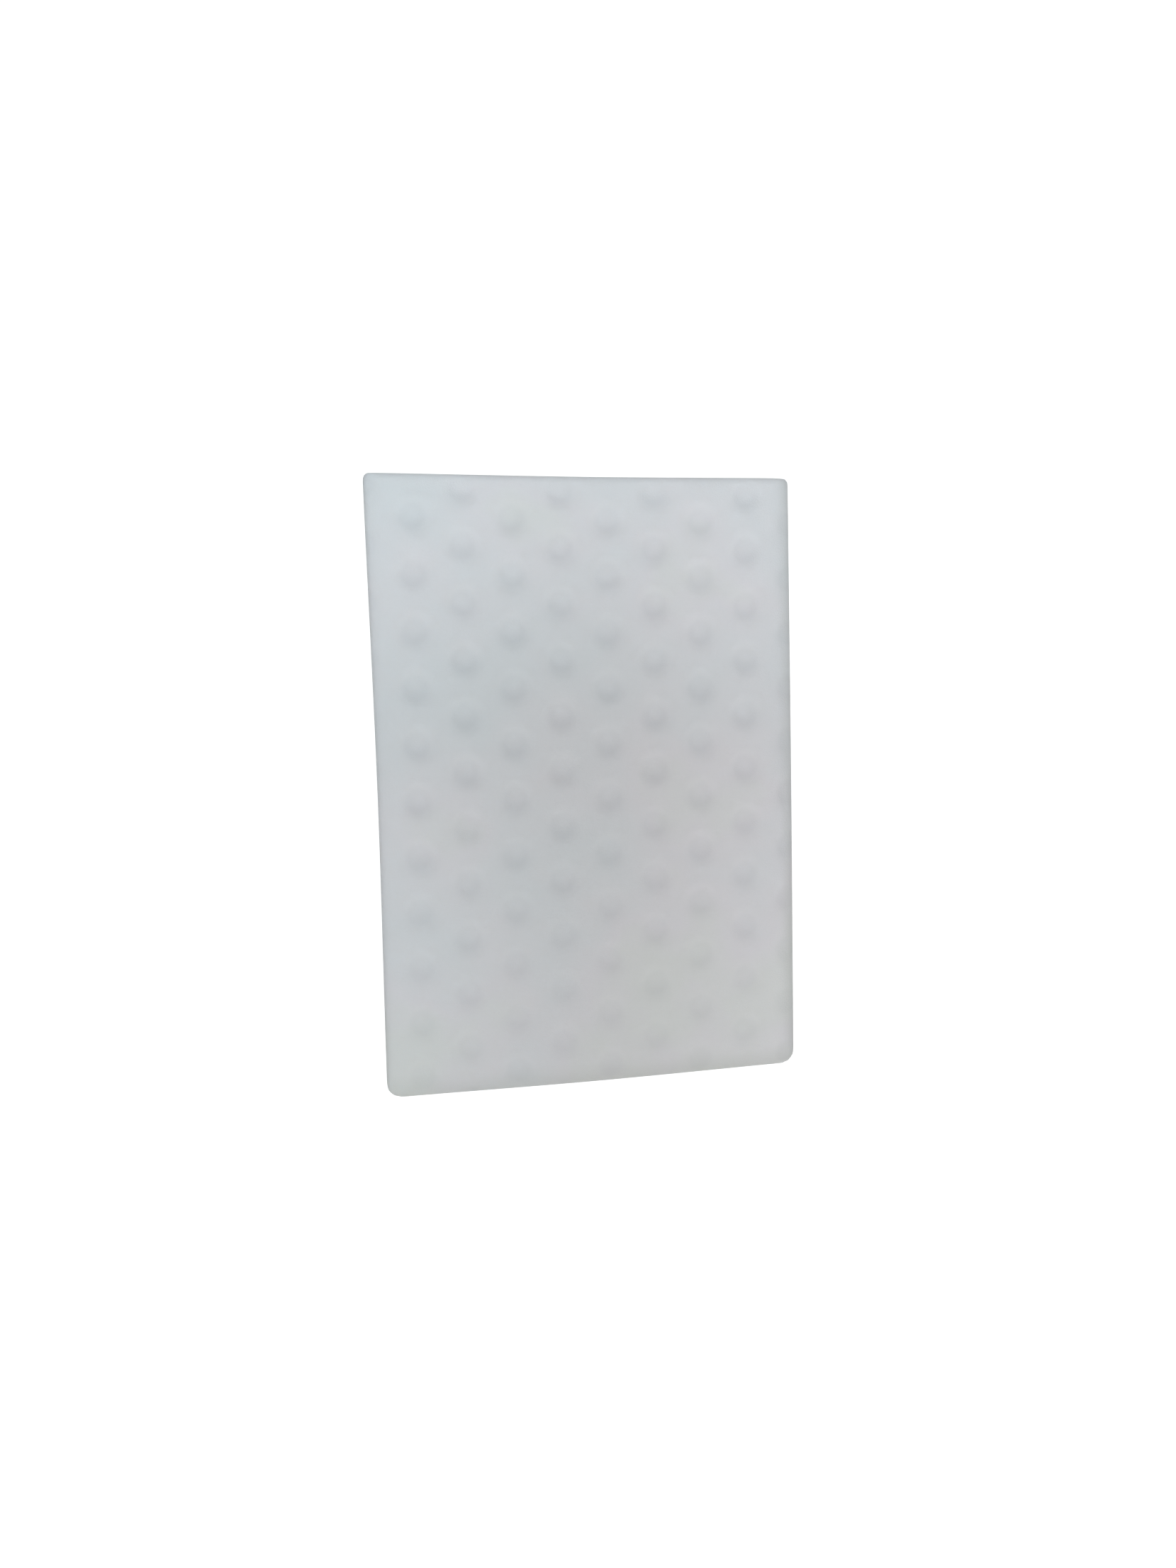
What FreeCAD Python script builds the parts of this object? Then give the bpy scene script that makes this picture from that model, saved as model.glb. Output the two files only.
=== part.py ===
"""A laminated foam nail buffer block, lying on its back face.

X is the width, Y the length and Z the thickness. The origin is the middle of the face it lies on.
Two soft pads with pressed dimples are bonded to a firmer core. Every layer is cut from a larger
sheet with one outline, after the dimples are pressed, so the outer dimples are cut through.
"""

import FreeCAD
import Part

import math
import os

# Outline of the block
block_width = 70.0
block_length = 100.0
crisp_corner = 0.8  # radius of the two corners at the +Y end, which the cutter leaves sharp
soft_corner = 2.4  # radius of the two corners at the -Y end
least_corner = 0.1  # the tightest corner of a layer that stops inside the outline
face_edge = 0.6  # rounding round each working face

# Layers, from the back to the front: pad, film, core, film, pad
pad_thickness = 9.8
core_thickness = 10.0
film_thickness = 0.2
film_inset = 0.4  # the adhesive stops this far inside the cut sides

# Dimples, on a grid of equal triangles whose columns run along the block
dimple_pitch = 9.0
dimple_radius = 2.8  # where the dimple meets the face
dimple_floor = 1.7  # radius of its flat floor
dimple_depth = 0.8
grid_lean = 0.95  # degrees, clockwise as seen from the front
grid_x = 2.8  # the dimple nearest the middle of the face
grid_y = -2.1
smallest_bite = 0.5  # a dimple that would reach less than this into the outline is left out
cutter_lift = 0.3  # how far the dimple's cutter stands above the face

# Levels of the layers
back_film_level = pad_thickness
core_level = back_film_level + film_thickness
front_film_level = core_level + core_thickness
front_pad_level = front_film_level + film_thickness
front_level = front_pad_level + pad_thickness
mid_level = front_level / 2


def point(x, y, z=0.0):
    return FreeCAD.Vector(x, y, z)


def corner_arc(x, y, radius, start):
    """A quarter circle that rounds the corner at x, y, from the angle start to 90 degrees on."""
    centre = point(x - math.copysign(radius, x), y - math.copysign(radius, y))
    circle = Part.Circle(centre, point(0, 0, 1), radius)
    return Part.Arc(circle, math.radians(start), math.radians(start + 90)).toShape()


def outline(inset):
    """The block's outline, moved inwards by inset."""
    x = block_width / 2 - inset
    y = block_length / 2 - inset
    crisp = max(crisp_corner - inset, least_corner)
    soft = max(soft_corner - inset, least_corner)
    arcs = [
        corner_arc(x, y, crisp, 0),
        corner_arc(-x, y, crisp, 90),
        corner_arc(-x, -y, soft, 180),
        corner_arc(x, -y, soft, 270),
    ]
    sides = [
        Part.makeLine(arc.Vertexes[-1].Point, following.Vertexes[0].Point)
        for arc, following in zip(arcs, arcs[1:] + arcs[:1])
    ]
    return Part.Wire([edge for pair in zip(arcs, sides) for edge in pair])


def layer(level, thickness, inset=0.0):
    """A flat sheet with the block's outline, whose lower face is at level."""
    sheet = Part.Face(outline(inset)).extrude(point(0, 0, thickness))
    return sheet.translated(point(0, 0, level))


def grid_points():
    """The middle of each dimple whose edge reaches into the outline."""
    lean = math.radians(-grid_lean)
    column_step = dimple_pitch * math.sqrt(3) / 2
    reach_x = block_width / 2 + dimple_radius - smallest_bite
    reach_y = block_length / 2 + dimple_radius - smallest_bite
    columns = math.ceil(2 * reach_x / column_step)
    rows = math.ceil(2 * reach_y / dimple_pitch)
    found = []
    for column in range(-columns, columns + 1):
        for row in range(-rows, rows + 1):
            along = (row + 0.5 * (column % 2)) * dimple_pitch
            across = column * column_step
            x = grid_x + across * math.cos(lean) - along * math.sin(lean)
            y = grid_y + across * math.sin(lean) + along * math.cos(lean)
            if abs(x) < reach_x and abs(y) < reach_y:
                found.append((x, y))
    return found


def dimple_cutter(x, y, level):
    """A short cone that leaves a dimple with a flat floor and a sloping wall in the face at level."""
    wall_slope = (dimple_radius - dimple_floor) / dimple_depth
    top_radius = dimple_radius + wall_slope * cutter_lift
    floor = point(x, y, level - dimple_depth)
    return Part.makeCone(dimple_floor, top_radius, dimple_depth + cutter_lift, floor)


def front_pad():
    """The upper pad: a sheet with its outer edges rounded and the dimples pressed in."""
    sheet = layer(front_pad_level, pad_thickness)
    rim = [e for e in sheet.Edges if e.BoundBox.ZMin > front_level - 1e-6]
    rounded = sheet.makeFillet(face_edge, rim)
    cutters = [dimple_cutter(x, y, front_level) for x, y in grid_points()]
    return rounded.cut(Part.makeCompound(cutters))


def back_pad(front):
    """The lower pad, which the same press makes as the front pad's mirror image."""
    return front.mirror(point(0, 0, mid_level), point(0, 0, 1))


def core():
    return layer(core_level, core_thickness)


def bond_film(level):
    """The adhesive between the core and a pad."""
    return layer(level, film_thickness, film_inset)


def solid(shape):
    """The one solid in a shape that a cut or a mirror has wrapped."""
    if len(shape.Solids) != 1:
        raise ValueError(f"{len(shape.Solids)} solids where one was meant")
    return shape.Solids[0]


def main():
    front = solid(front_pad())
    nodes = {
        "front_pad": front,
        "front_bond_film": solid(bond_film(front_film_level)),
        "core": solid(core()),
        "back_bond_film": solid(bond_film(back_film_level)),
        "back_pad": solid(back_pad(front)),
    }
    os.makedirs("parts", exist_ok=True)
    for name, shape in nodes.items():
        shape.exportStep(f"parts/{name}.step")
        print(f"{name}: {shape.Volume / 1000:.2f} cm3, valid {shape.isValid()}")


main()
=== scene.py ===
import math
import random

import bpy
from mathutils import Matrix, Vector
from mathutils.kdtree import KDTree


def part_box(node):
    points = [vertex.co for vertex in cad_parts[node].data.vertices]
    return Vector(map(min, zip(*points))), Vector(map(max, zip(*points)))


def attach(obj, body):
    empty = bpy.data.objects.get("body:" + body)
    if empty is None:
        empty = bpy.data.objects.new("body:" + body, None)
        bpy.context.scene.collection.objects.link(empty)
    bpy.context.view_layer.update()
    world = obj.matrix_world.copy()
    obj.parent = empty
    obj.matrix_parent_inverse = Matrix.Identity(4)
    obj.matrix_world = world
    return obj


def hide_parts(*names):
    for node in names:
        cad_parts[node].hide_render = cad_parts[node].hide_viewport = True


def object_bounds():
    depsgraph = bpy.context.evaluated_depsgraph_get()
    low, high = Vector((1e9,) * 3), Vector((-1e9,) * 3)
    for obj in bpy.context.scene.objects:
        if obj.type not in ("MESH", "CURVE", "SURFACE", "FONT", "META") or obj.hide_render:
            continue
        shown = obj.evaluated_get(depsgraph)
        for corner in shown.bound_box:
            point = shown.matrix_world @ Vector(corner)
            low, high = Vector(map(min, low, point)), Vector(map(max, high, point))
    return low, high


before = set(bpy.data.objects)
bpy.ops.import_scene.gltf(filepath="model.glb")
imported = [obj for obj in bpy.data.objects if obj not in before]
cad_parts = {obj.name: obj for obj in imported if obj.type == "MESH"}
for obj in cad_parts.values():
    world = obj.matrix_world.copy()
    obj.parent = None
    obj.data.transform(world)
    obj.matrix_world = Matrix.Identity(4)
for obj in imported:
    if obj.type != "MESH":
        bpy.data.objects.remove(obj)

MM = 0.001

CAD_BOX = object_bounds()
LOW, HIGH = CAD_BOX
MIDDLE = (LOW + HIGH) / 2

# Upright corners of the block: crisp at its +Y end and soft at its -Y end
CRISP_CORNER = 0.8 * MM
SOFT_CORNER = 2.4 * MM
CORNER_STEPS = 6

# Mesh cells of the foams, and how their edges are softened
PAD_CELL = 0.45 * MM
CORE_CELL = 0.5 * MM
SOFTENING = {"factor": 0.5, "iterations": 3}

# Dimple grid, the same as in the frame
DIMPLE_PITCH = 9.0 * MM
GRID_LEAN = math.radians(0.95)
GRID_MIDDLE = Vector((2.8 * MM, -2.1 * MM))

# Shape of one dimple: a soft bowl
DIMPLE_DEPTH = 0.82 * MM
DIMPLE_FLOOR = 0.3 * MM
DIMPLE_REACH = 3.5 * MM
PRESS_FADE = 6.0 * MM  # how far under the face the foam is still squeezed
PRESS_SCATTER = 0.08
PRESS_SEED = 11
SHALLOW_END = 0.5  # share of the depth that is left at the -Y end
SHALLOW_FROM = 25 * MM  # where along Y the dimples start to get shallower
CUT_RELAX = 3.0 * MM  # how far in from a cut side the foam has sprung back

# Darker dimple floors: painted shade in the recesses, together with the denser skin of the pressed foam
SHADE_AND_SKIN_FLOOR = 1.5 * MM
SHADE_AND_SKIN_REACH = 2.6 * MM
SHADE_AND_SKIN_EVENNESS = 0.5

# Rolled edges of a working face: how far in from the side each roll starts, and how deep it drops
ROLL_FADE = 5.0 * MM  # how far under the face the rolls, the dimple shade and skin, and the painted edge shade reach
ROLL_CURVE = 2.2
ROLLS = {
    "+Y": (1.3 * MM, 0.3 * MM),
    "-Y": (4.6 * MM, 1.2 * MM),
    "-X": (2.5 * MM, 0.6 * MM),
    "+X": (4.5 * MM, 1.5 * MM),
}

# How far in from each side a working face is darkened by painted shade along its rolled edges, and how
# much
EDGE_SHADE_CURVE = 1.5
EDGE_SHADE_RIMS = {
    "+Y": (1.0 * MM, 0.1),
    "-Y": (4.6 * MM, 1.0),
    "-X": (1.5 * MM, 0.2),
    "+X": (3.0 * MM, 1.0),
}

# How far a surface may face up or down and be all cut side, and from where on it is none
ALL_CUT = 0.1
NO_CUT = 0.6

# How far the middle of each side bows, towards +X or +Y
BOW = {"-X": 0.35 * MM, "+X": 0.10 * MM, "+Y": -0.20 * MM, "-Y": -0.25 * MM}

# Tints of the pads' foam on a scale that wanders in patches and changes across the block
PAD_TINTS = (
    (0.30, (0.764, 0.787, 0.797)),  # cool
    (0.44, (0.785, 0.792, 0.803)),  # neutral
    (0.55, (0.800, 0.790, 0.803)),  # lilac
    (0.68, (0.785, 0.797, 0.780)),  # greenish
)
PATCH_SIZE = 26 * MM
TINT_SLOPE = (0.06, -0.09)  # how much the scale rises from the middle to the +X and the +Y side
# The next tone darkens the dimple floors: painted shade in the recesses, together with the denser skin
# of the pressed foam
SHADE_AND_SKIN_TONE = (0.960, 0.962, 0.965)
# The next tone is painted shade along the rolled edges, strongest at the -Y and +X sides
EDGE_SHADE_TONE = (0.805, 0.815, 0.79)

# Tints of the core's foam and of the adhesive
CORE_TINTS = (
    (0.35, (0.745, 0.742, 0.728)),
    (0.65, (0.790, 0.788, 0.778)),
)
ADHESIVE_TINTS = (
    (0.35, (0.60, 0.62, 0.63)),
    (0.65, (0.70, 0.71, 0.71)),
)

# Open cells on the pads' cut sides and closed ones in the core: how far apart, and how wide
LARGE_CELLS = (0.9 * MM, 0.55 * MM)
FINE_CELLS = (0.48 * MM, 0.42 * MM)
CLOSED_CELLS = (0.36 * MM, 0.30 * MM)
PINHOLES = (2.1 * MM, 0.5 * MM)

# The set: how far it reaches, and how far under the block its two floor sheets lie
SET_REACH = 4.0
FLOOR_DROP = 0.05 * MM
BOUNCE_DROP = 0.5 * MM

# The sky at the horizon, straight up, and how high it is as bright as straight up
HORIZON_COLOUR = (0.30, 0.305, 0.31)
ZENITH_COLOUR = (0.97, 0.985, 1.0)
ZENITH_FROM = 0.55

# The camera's place over the middle of the working face, its turn in degrees, and its lens
CAMERA_PLACE = (-31.7 * MM, 13.6 * MM, 170.9 * MM)
CAMERA_TURN = (-4.145, -10.371, -1.445)
CAMERA_LENS = 24.41
CAMERA_SENSOR = 36.0


# ---------------------------------------------------------------- mesh tools


def select_only(piece):
    bpy.ops.object.select_all(action="DESELECT")
    piece.select_set(True)
    bpy.context.view_layer.objects.active = piece


def pick_edges(piece, wanted):
    """Leaves edit mode on, with just the edges selected whose two ends pass the test."""
    bpy.ops.object.mode_set(mode="EDIT")
    bpy.ops.mesh.select_mode(type="EDGE")
    bpy.ops.mesh.select_all(action="DESELECT")
    bpy.ops.object.mode_set(mode="OBJECT")
    points = piece.data.vertices
    for edge in piece.data.edges:
        a, b = (points[i].co for i in edge.vertices)
        edge.select = wanted(a, b)
    bpy.ops.object.mode_set(mode="EDIT")


def apply_modifier(piece, kind, **settings):
    modifier = piece.modifiers.new(kind.lower(), kind)
    for name, value in settings.items():
        setattr(modifier, name, value)
    select_only(piece)
    bpy.ops.object.modifier_apply(modifier=modifier.name)


def upright(a, b):
    return abs(a.z - b.z) > MM and (a - b).xy.length < MM


def cut_sheet(name, low, high):
    """A rectangular sheet with its four upright corners rounded."""
    bpy.ops.object.select_all(action="DESELECT")
    bpy.ops.mesh.primitive_cube_add(size=1, location=(low + high) / 2)
    piece = bpy.context.object
    piece.name = piece.data.name = name
    bpy.ops.transform.resize(value=high - low)
    bpy.ops.object.transform_apply(location=True, rotation=True, scale=True)
    for end, radius in ((1, CRISP_CORNER), (-1, SOFT_CORNER)):
        pick_edges(piece, lambda a, b: upright(a, b) and end * a.y > 0)
        bpy.ops.mesh.bevel(offset=radius, segments=CORNER_STEPS, affect="EDGES")
        bpy.ops.object.mode_set(mode="OBJECT")
    return piece


def weigh(piece, name, weight):
    """Adds a vertex group whose weights a function of the place gives."""
    group = piece.vertex_groups.new(name=name)
    for vertex in piece.data.vertices:
        value = weight(vertex.co)
        if value > 0:
            group.add([vertex.index], value, "REPLACE")


def remember(piece, name, tone):
    """Adds a point attribute for the material to read, from each point's place and normal."""
    values = [tone(vertex.co, vertex.normal) for vertex in piece.data.vertices]
    piece.data.attributes.new(name, "FLOAT", "POINT").data.foreach_set("value", values)


def smooth_step(share):
    share = min(max(share, 0.0), 1.0)
    return share * share * (3 - 2 * share)


# ---------------------------------------------------------------- foam shapes


def bow_sides(piece):
    """Bends the four cut sides a little, with a cage of three by three points."""
    bpy.ops.object.select_all(action="DESELECT")
    bpy.ops.object.add(type="LATTICE", location=MIDDLE)
    cage = bpy.context.object
    cage.scale = HIGH - LOW
    cage.data.points_u, cage.data.points_v, cage.data.points_w = 3, 3, 2
    for direction in ("u", "v", "w"):
        setattr(cage.data, f"interpolation_type_{direction}", "KEY_CATMULL_ROM")
    centred = 0.1  # the cage's own coordinates run from -0.5 to 0.5
    for point in cage.data.points:
        x, y = point.co.x, point.co.y
        if abs(y) < centred < abs(x):
            point.co_deform.x += BOW["+X" if x > 0 else "-X"] / cage.scale.x
        if abs(x) < centred < abs(y):
            point.co_deform.y += BOW["+Y" if y > 0 else "-Y"] / cage.scale.y
    bpy.context.view_layer.update()
    apply_modifier(piece, "LATTICE", object=cage)
    bpy.data.objects.remove(cage, do_unlink=True)


def dimple_grid():
    """A tree of the dimples' middles, and how deep each is pressed, as a share of the full depth."""
    chance = random.Random(PRESS_SEED)
    column_step = DIMPLE_PITCH * math.sqrt(3) / 2
    columns = math.ceil((HIGH.x - LOW.x) / 2 / column_step) + 1
    rows = math.ceil((HIGH.y - LOW.y) / 2 / DIMPLE_PITCH) + 1
    spots = []
    for column in range(-columns, columns + 1):
        for row in range(-rows, rows + 1):
            across = column * column_step
            along = (row + 0.5 * (column % 2)) * DIMPLE_PITCH
            x = GRID_MIDDLE.x + across * math.cos(GRID_LEAN) + along * math.sin(GRID_LEAN)
            y = GRID_MIDDLE.y - across * math.sin(GRID_LEAN) + along * math.cos(GRID_LEAN)
            past = (SHALLOW_FROM - y) / (SHALLOW_FROM - LOW.y)
            press = 1 - (1 - SHALLOW_END) * smooth_step(past)
            spots.append((x, y, press * (1 + chance.uniform(-PRESS_SCATTER, PRESS_SCATTER))))
    tree = KDTree(len(spots))
    for i, (x, y, _) in enumerate(spots):
        tree.insert((x, y, 0), i)
    tree.balance()
    return tree, [press for _, _, press in spots]


def dimple_share(grid, floor, reach, evenness=0.0):
    """A function of the place on a face: 1 on the floor of a full dimple and 0 between the dimples.

    With an evenness of 0 a shallow dimple gets less in proportion to its depth, and with 1 no less.
    """
    tree, presses = grid

    def share(x, y):
        _, i, away = tree.find((x, y, 0))
        return presses[i] ** (1 - evenness) * (1 - smooth_step((away - floor) / (reach - floor)))

    return share


def side_gaps(x, y):
    """How far in from each cut side a place is."""
    return {"+X": HIGH.x - x, "-X": x - LOW.x, "+Y": HIGH.y - y, "-Y": y - LOW.y}


def roll_depth(x, y):
    """How far the rolled edges drop at a place, more and more steeply towards each side."""
    drops = []
    for side, gap in side_gaps(x, y).items():
        reach, drop = ROLLS[side]
        near = min(max(1 - gap / reach, 0), 1)
        drops.append(drop * near ** ROLL_CURVE)
    return math.hypot(*drops)


def edge_shade_share(x, y):
    """How much painted shade darkens a place near the rim, from 0 to 1."""
    shares = []
    for side, gap in side_gaps(x, y).items():
        reach, full = EDGE_SHADE_RIMS[side]
        shares.append(full * max(1 - gap / reach, 0) ** EDGE_SHADE_CURVE)
    return min(math.hypot(*shares), 1)


def shape_face(piece, face, up, grid):
    """Rolls the edges of one working face and presses its dimples, squeezing the foam under it."""
    share = dimple_share(grid, DIMPLE_FLOOR, DIMPLE_REACH)
    deepest_roll = math.hypot(*(drop for _, drop in ROLLS.values()))

    def fade(z, reach):
        return 1 - smooth_step(abs(z - face) / reach)

    def rolled(p):
        return roll_depth(p.x, p.y) / deepest_roll * fade(p.z, ROLL_FADE)

    def pressed(p):
        kept = smooth_step(min(side_gaps(p.x, p.y).values()) / CUT_RELAX)
        return share(p.x, p.y) * kept * fade(p.z, PRESS_FADE)

    for name, weight, depth in (("rolled", rolled, deepest_roll), ("pressed", pressed, DIMPLE_DEPTH)):
        weigh(piece, name, weight)
        apply_modifier(
            piece,
            "DISPLACE",
            direction="Z",
            mid_level=0,
            strength=-up * depth,
            vertex_group=name,
        )
    apply_modifier(piece, "SMOOTH", **SOFTENING)


def mark_finish(piece, face, grid):
    """Marks a pad's painted shade in the dimples with their denser skin, its painted shade along the
    rims, and its cut sides, for its material.
    """
    shade_and_skin = dimple_share(grid, SHADE_AND_SKIN_FLOOR, SHADE_AND_SKIN_REACH, SHADE_AND_SKIN_EVENNESS)

    # Painted shade in the dimple floors, together with the denser skin of the pressed foam
    def dimple_shade_and_skin_tone(p, normal):
        return shade_and_skin(p.x, p.y) if abs(p.z - face) < ROLL_FADE else 0

    # Painted shade along the rolled edges
    def rim_shade_tone(p, normal):
        return edge_shade_share(p.x, p.y) * (1 - smooth_step(abs(p.z - face) / ROLL_FADE))

    def side_tone(p, normal):
        return 1 - smooth_step((abs(normal.z) - ALL_CUT) / (NO_CUT - ALL_CUT))

    for name, tone in (("dimple_shade_and_skin", dimple_shade_and_skin_tone), ("painted_edge_shade", rim_shade_tone), ("cut_side", side_tone)):
        remember(piece, name, tone)


def buffing_pad(name, node, up, grid):
    low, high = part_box(node)
    face = high.z if up > 0 else low.z
    piece = cut_sheet(name, low, high)
    apply_modifier(piece, "REMESH", mode="VOXEL", voxel_size=PAD_CELL, use_smooth_shade=True)
    shape_face(piece, face, up, grid)
    bow_sides(piece)
    mark_finish(piece, face, grid)
    return piece


def core_block(name, node):
    low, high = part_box(node)
    piece = cut_sheet(name, low, high)
    apply_modifier(piece, "REMESH", mode="VOXEL", voxel_size=CORE_CELL, use_smooth_shade=True)
    apply_modifier(piece, "SMOOTH", **SOFTENING)
    bow_sides(piece)
    return piece


# ---------------------------------------------------------------- material tools


def new_material(name):
    """A material with nothing but its shader in it."""
    material = bpy.data.materials.new(name)
    material.use_nodes = True
    tree = material.node_tree
    tree.nodes.clear()
    output = tree.nodes.new("ShaderNodeOutputMaterial")
    shader = tree.nodes.new("ShaderNodeBsdfPrincipled")
    tree.links.new(shader.outputs["BSDF"], output.inputs["Surface"])
    return material, shader


def set_values(node, values):
    for name, value in values.items():
        node.inputs[name].default_value = value


def object_place(tree):
    return tree.nodes.new("ShaderNodeTexCoord").outputs["Object"]


def point_value(tree, name):
    """Reads a value that the piece's points hold."""
    value = tree.nodes.new("ShaderNodeAttribute")
    value.attribute_name = name
    return value.outputs["Fac"]


def combine(tree, operation, first, second):
    """One value worked out from two that vary over the surface."""
    combined = tree.nodes.new("ShaderNodeMath")
    combined.operation = operation
    tree.links.new(first, combined.inputs[0])
    tree.links.new(second, combined.inputs[1])
    return combined.outputs["Value"]


def slope(tree, place, rise):
    """A value of 0 at the middle of the block that rises evenly to its +X and its +Y side."""
    product = tree.nodes.new("ShaderNodeVectorMath")
    product.operation = "DOT_PRODUCT"
    product.inputs[1].default_value = (rise[0] / HIGH.x, rise[1] / HIGH.y, 0)
    tree.links.new(place, product.inputs[0])
    return product.outputs["Value"]


def noise(tree, place, size, detail=2.0, roughness=0.5):
    """A value that wanders in lumps of about that size."""
    texture = tree.nodes.new("ShaderNodeTexNoise")
    set_values(texture, {"Scale": 1 / size, "Detail": detail, "Roughness": roughness})
    tree.links.new(place, texture.inputs["Vector"])
    return texture.outputs["Fac"]


def ramp(tree, value, stops):
    colours = tree.nodes.new("ShaderNodeValToRGB")
    band = colours.color_ramp
    while len(band.elements) < len(stops):
        band.elements.new(0.5)
    for element, (at, colour) in zip(band.elements, stops):
        element.position = at
        element.color = (*colour, 1)
    tree.links.new(value, colours.inputs["Fac"])
    return colours.outputs["Color"]


def pits(tree, place, spacing, width):
    """Round pits about spacing apart, 1 in the middle of each and 0 outside its width."""
    cells = tree.nodes.new("ShaderNodeTexVoronoi")
    cells.inputs["Scale"].default_value = 1 / spacing
    tree.links.new(place, cells.inputs["Vector"])
    edge = width / spacing / 2
    floor = 0.3 * edge
    return ramp(tree, cells.outputs["Distance"], [(floor, (1, 1, 1)), (edge, (0, 0, 0))])


def darken(tree, colour, tone, where):
    """Multiplies a colour by a tone, in full where the last value is 1."""
    mix = tree.nodes.new("ShaderNodeMix")
    mix.data_type = "RGBA"
    mix.blend_type = "MULTIPLY"
    mix.inputs["B"].default_value = (*tone, 1)
    tree.links.new(where, mix.inputs["Factor"])
    tree.links.new(colour, mix.inputs["A"])
    return mix.outputs["Result"]


def bump(tree, height, depth, under=None, where=None):
    """Relief on top of the relief under it; a negative depth sinks what is high."""
    relief = tree.nodes.new("ShaderNodeBump")
    relief.invert = depth < 0
    set_values(relief, {"Strength": 1.0, "Distance": abs(depth)})
    tree.links.new(height, relief.inputs["Height"])
    if where is not None:
        tree.links.new(where, relief.inputs["Strength"])
    if under is not None:
        tree.links.new(under, relief.inputs["Normal"])
    return relief.outputs["Normal"]


# ---------------------------------------------------------------- materials


def pad_tint(tree, place):
    patches = noise(tree, place, PATCH_SIZE, detail=3)
    scale = combine(tree, "ADD", patches, slope(tree, place, TINT_SLOPE))
    return ramp(tree, scale, PAD_TINTS)


def pad_foam():
    """Soft white foam in faint patches, with painted shade in the dimple floors together with their
    denser skin, painted shade along the rolled edges, and open cells on its cut sides.
    """
    material, shader = new_material("soft_white_foam")
    tree = material.node_tree
    place = object_place(tree)
    cut = point_value(tree, "cut_side")
    large_cells = pits(tree, place, *LARGE_CELLS)
    fine_cells = pits(tree, place, *FINE_CELLS)

    colour = pad_tint(tree, place)
    # Painted shade in the dimple floors, together with the denser skin of the pressed foam
    colour = darken(tree, colour, SHADE_AND_SKIN_TONE, point_value(tree, "dimple_shade_and_skin"))
    # Painted shade along the rolled edges
    colour = darken(tree, colour, EDGE_SHADE_TONE, point_value(tree, "painted_edge_shade"))
    for cells, shade in ((large_cells, 0.88), (fine_cells, 0.86)):
        open_cells = combine(tree, "MULTIPLY", cells, cut)
        colour = darken(tree, colour, (shade, shade, shade), open_cells)
    tree.links.new(colour, shader.inputs["Base Color"])

    swells = noise(tree, place, size=5 * MM)
    grain = noise(tree, place, size=0.28 * MM, roughness=0.6)
    relief = bump(tree, swells, depth=0.05 * MM)
    relief = bump(tree, grain, depth=0.05 * MM, under=relief)
    relief = bump(tree, fine_cells, depth=-0.07 * MM, under=relief, where=cut)
    relief = bump(tree, large_cells, depth=-0.10 * MM, under=relief, where=cut)
    tree.links.new(relief, shader.inputs["Normal"])

    set_values(shader, {
        "Roughness": 0.9,
        "Specular IOR Level": 0.25,
        "Subsurface Weight": 0.15,
        "Subsurface Radius": (1.0, 0.95, 0.9),
        "Subsurface Scale": 0.8 * MM,
    })
    return material


def core_foam():
    """Firmer white foam with fine closed cells and a few larger pinholes."""
    material, shader = new_material("firm_white_foam")
    tree = material.node_tree
    place = object_place(tree)
    closed_cells = pits(tree, place, *CLOSED_CELLS)
    pinholes = pits(tree, place, *PINHOLES)

    patches = noise(tree, place, size=9 * MM, detail=4)
    colour = ramp(tree, patches, CORE_TINTS)
    colour = darken(tree, colour, (0.90, 0.90, 0.90), closed_cells)
    colour = darken(tree, colour, (0.80, 0.80, 0.79), pinholes)
    tree.links.new(colour, shader.inputs["Base Color"])

    scuffs = noise(tree, place, size=1.6 * MM, detail=3)
    relief = bump(tree, scuffs, depth=0.05 * MM)
    relief = bump(tree, closed_cells, depth=-0.03 * MM, under=relief)
    relief = bump(tree, pinholes, depth=-0.12 * MM, under=relief)
    tree.links.new(relief, shader.inputs["Normal"])

    set_values(shader, {"Roughness": 0.75, "Specular IOR Level": 0.3})
    return material


def bond_adhesive():
    """Milky hot-melt film."""
    material, shader = new_material("milky_adhesive")
    tree = material.node_tree
    streaks = noise(tree, object_place(tree), size=2 * MM, detail=3)
    tree.links.new(ramp(tree, streaks, ADHESIVE_TINTS), shader.inputs["Base Color"])
    tree.links.new(bump(tree, streaks, depth=0.05 * MM), shader.inputs["Normal"])
    set_values(shader, {"Roughness": 0.45})
    return material


# ---------------------------------------------------------------- pieces


def put_on(piece, material):
    piece.data.materials.clear()
    piece.data.materials.append(material)


def build_block():
    grid = dimple_grid()
    soft, firm, glue = pad_foam(), core_foam(), bond_adhesive()
    for name, node, up in (("front_pad_foam", "front_pad", 1), ("back_pad_foam", "back_pad", -1)):
        pad = buffing_pad(name, node, up, grid)
        put_on(pad, soft)
        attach(pad, "root")
        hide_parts(node)
    core = core_block("core_foam", "core")
    put_on(core, firm)
    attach(core, "root")
    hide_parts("core")
    for node in ("front_bond_film", "back_bond_film"):
        put_on(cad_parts[node], glue)


# ---------------------------------------------------------------- floor, light and camera


def floor_sheet(name, level, grey, glow):
    bpy.ops.object.select_all(action="DESELECT")
    bpy.ops.mesh.primitive_plane_add(size=2 * SET_REACH, location=(0, 0, level))
    sheet = bpy.context.object
    sheet.name = name
    material, shader = new_material(name)
    set_values(shader, {
        "Base Color": (grey, grey, grey, 1),
        "Roughness": 1.0,
        "Specular IOR Level": 0.0,
        "Emission Color": (1, 1, 1, 1),
        "Emission Strength": glow,
    })
    put_on(sheet, material)
    return sheet


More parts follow.
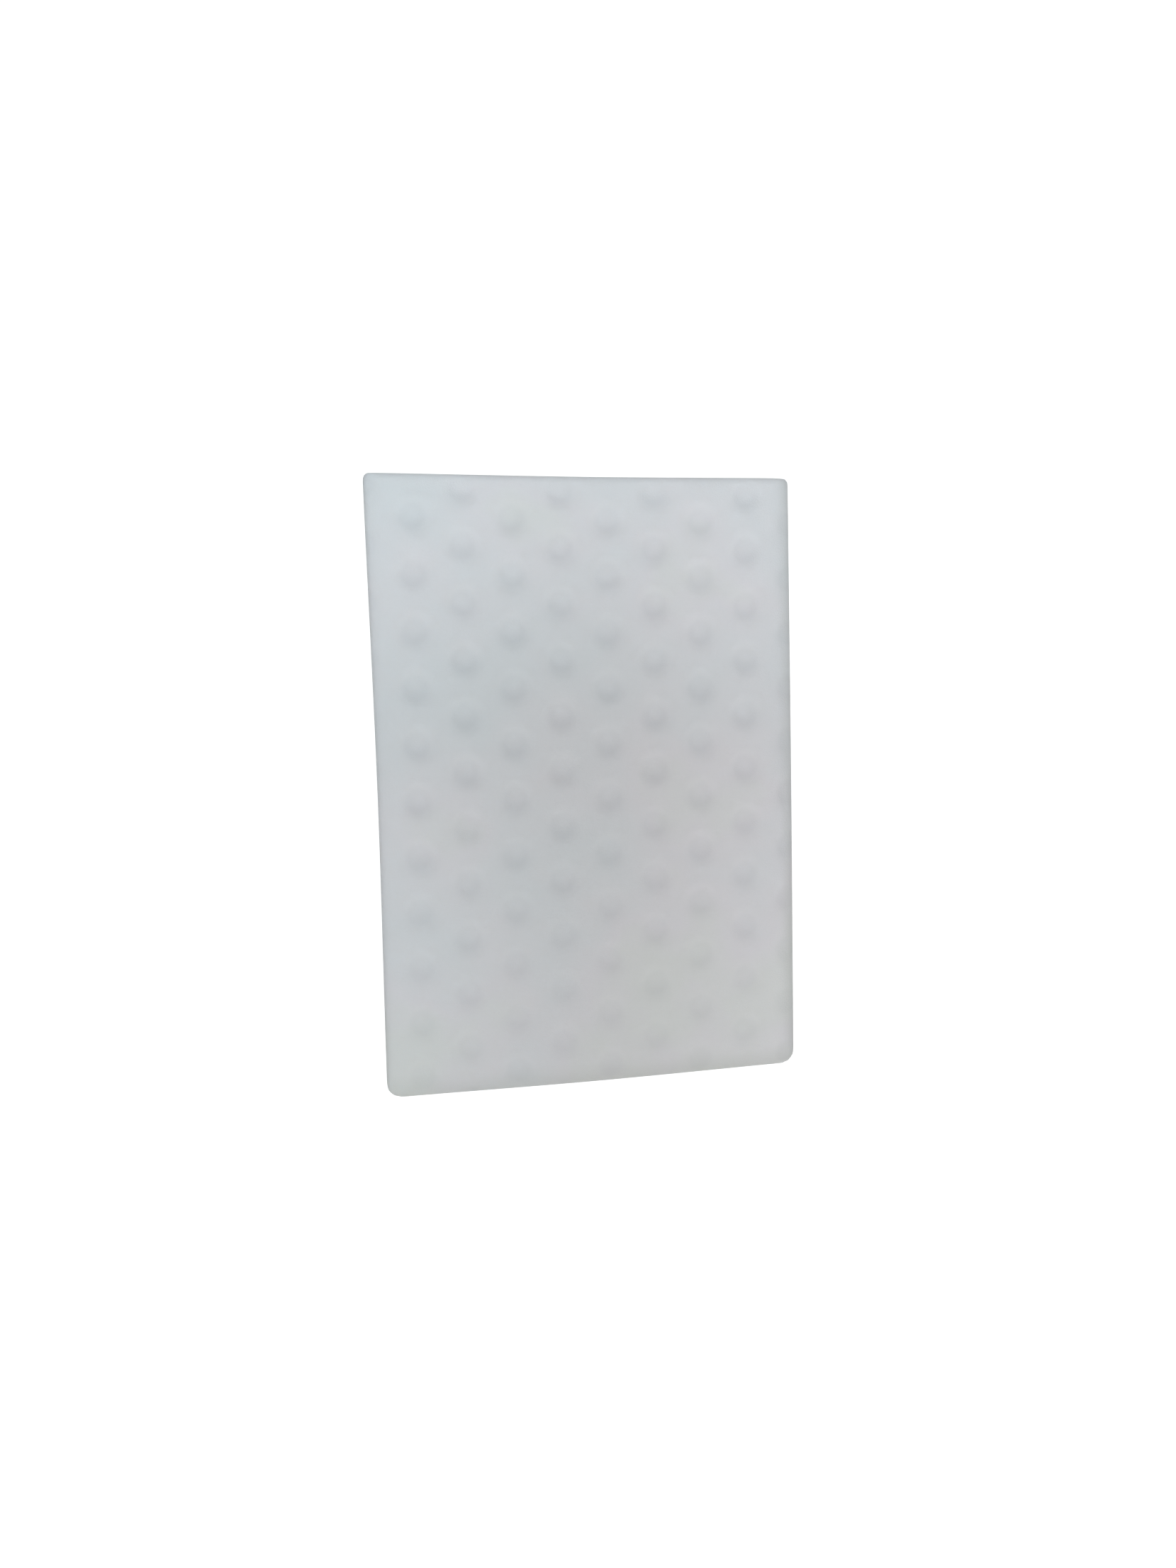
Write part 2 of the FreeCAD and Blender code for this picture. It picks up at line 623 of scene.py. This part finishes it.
def pale_floor():
    """A glowing sheet for the camera over a plain one that sends light back up to the sides."""
    seen = floor_sheet("floor", LOW.z - FLOOR_DROP, grey=0.35, glow=0.86)
    seen.visible_diffuse = False
    seen.visible_shadow = False
    bounce = floor_sheet("floor_bounce", LOW.z - BOUNCE_DROP, grey=0.8, glow=0.2)
    bounce.visible_camera = False


def backdrop():
    """A white shell round the whole set, which only the camera sees."""
    bpy.ops.object.select_all(action="DESELECT")
    bpy.ops.mesh.primitive_uv_sphere_add(segments=48, ring_count=24, radius=SET_REACH)
    shell = bpy.context.object
    shell.name = "backdrop"
    bpy.ops.object.mode_set(mode="EDIT")
    bpy.ops.mesh.flip_normals()
    bpy.ops.object.mode_set(mode="OBJECT")
    material, shader = new_material("white_backdrop")
    set_values(shader, {
        "Base Color": (0, 0, 0, 1),
        "Emission Color": (1, 1, 1, 1),
        "Emission Strength": 1.0,
    })
    put_on(shell, material)
    for ray in ("diffuse", "glossy", "transmission", "volume_scatter", "shadow"):
        setattr(shell, "visible_" + ray, False)


def softbox(name, place, aim, size, watts, colour=(1, 1, 1), beam=180):
    """A rectangular lamp, with the width of its beam in degrees."""
    light = bpy.data.lights.new(name, "AREA")
    light.shape = "RECTANGLE"
    light.size, light.size_y = size
    light.energy = watts
    light.color = colour
    light.spread = math.radians(beam)
    lamp = bpy.data.objects.new(name, light)
    lamp.location = place
    lamp.rotation_euler = (Vector(aim) - Vector(place)).to_track_quat("-Z", "Y").to_euler()
    lamp.visible_camera = False
    bpy.context.scene.collection.objects.link(lamp)


def strip(name, x, y, size, watts, colour, reach=0):
    """A narrow-beamed lamp close over the block, aimed straight down or at a place further along Y."""
    height = 0.18
    softbox(name, (x, y, height), (x, y + reach, HIGH.z), size, watts, colour, beam=45)


def soft_sky(strength):
    """An even sky, dimmer towards the horizon and below it."""
    world = bpy.data.worlds.new("studio")
    bpy.context.scene.world = world
    world.use_nodes = True
    tree = world.node_tree
    direction = tree.nodes.new("ShaderNodeTexCoord")
    height = tree.nodes.new("ShaderNodeSeparateXYZ")
    tree.links.new(direction.outputs["Generated"], height.inputs["Vector"])
    glow = ramp(tree, height.outputs["Z"], [(0.0, HORIZON_COLOUR), (ZENITH_FROM, ZENITH_COLOUR)])
    background = tree.nodes["Background"]
    tree.links.new(glow, background.inputs["Color"])
    background.inputs["Strength"].default_value = strength


def studio_light():
    soft_sky(strength=0.393)
    face = (0, 0, HIGH.z)
    softbox("overhead_softbox", (0, 0, 0.9), face, size=(1.0, 1.0), watts=2.0)
    softbox("near_softbox", (0, -0.6, 0.35), face, size=(0.6, 0.4), watts=0.80, colour=(1.0, 1.0, 0.96))
    beside = (0.02, 0.16)
    strip("left_strip", -0.050, 0.005, beside, watts=0.0047, colour=(0.74, 0.93, 1.05))
    strip("right_strip", 0.050, -0.01, beside, watts=0.0044, colour=(0.92, 0.92, 1.02))
    across = (0.11, 0.02)
    strip("far_strip", 0, 0.025, across, watts=0.0050, colour=(0.80, 0.96, 1.05), reach=0.040)


def camera():
    """A hand-held view from above, over the left side and a little towards the far end."""
    view = bpy.data.cameras.new("camera")
    view.sensor_width = CAMERA_SENSOR
    view.lens = CAMERA_LENS
    view.clip_start = 0.005
    view.clip_end = 20
    holder = bpy.data.objects.new("camera", view)
    x, y, over_face = CAMERA_PLACE
    holder.location = (x, y, HIGH.z + over_face)
    holder.rotation_euler = [math.radians(angle) for angle in CAMERA_TURN]
    bpy.context.scene.collection.objects.link(holder)
    bpy.context.scene.camera = holder


build_block()
pale_floor()
backdrop()
studio_light()
camera()
bpy.context.scene.view_settings.view_transform = "Standard"
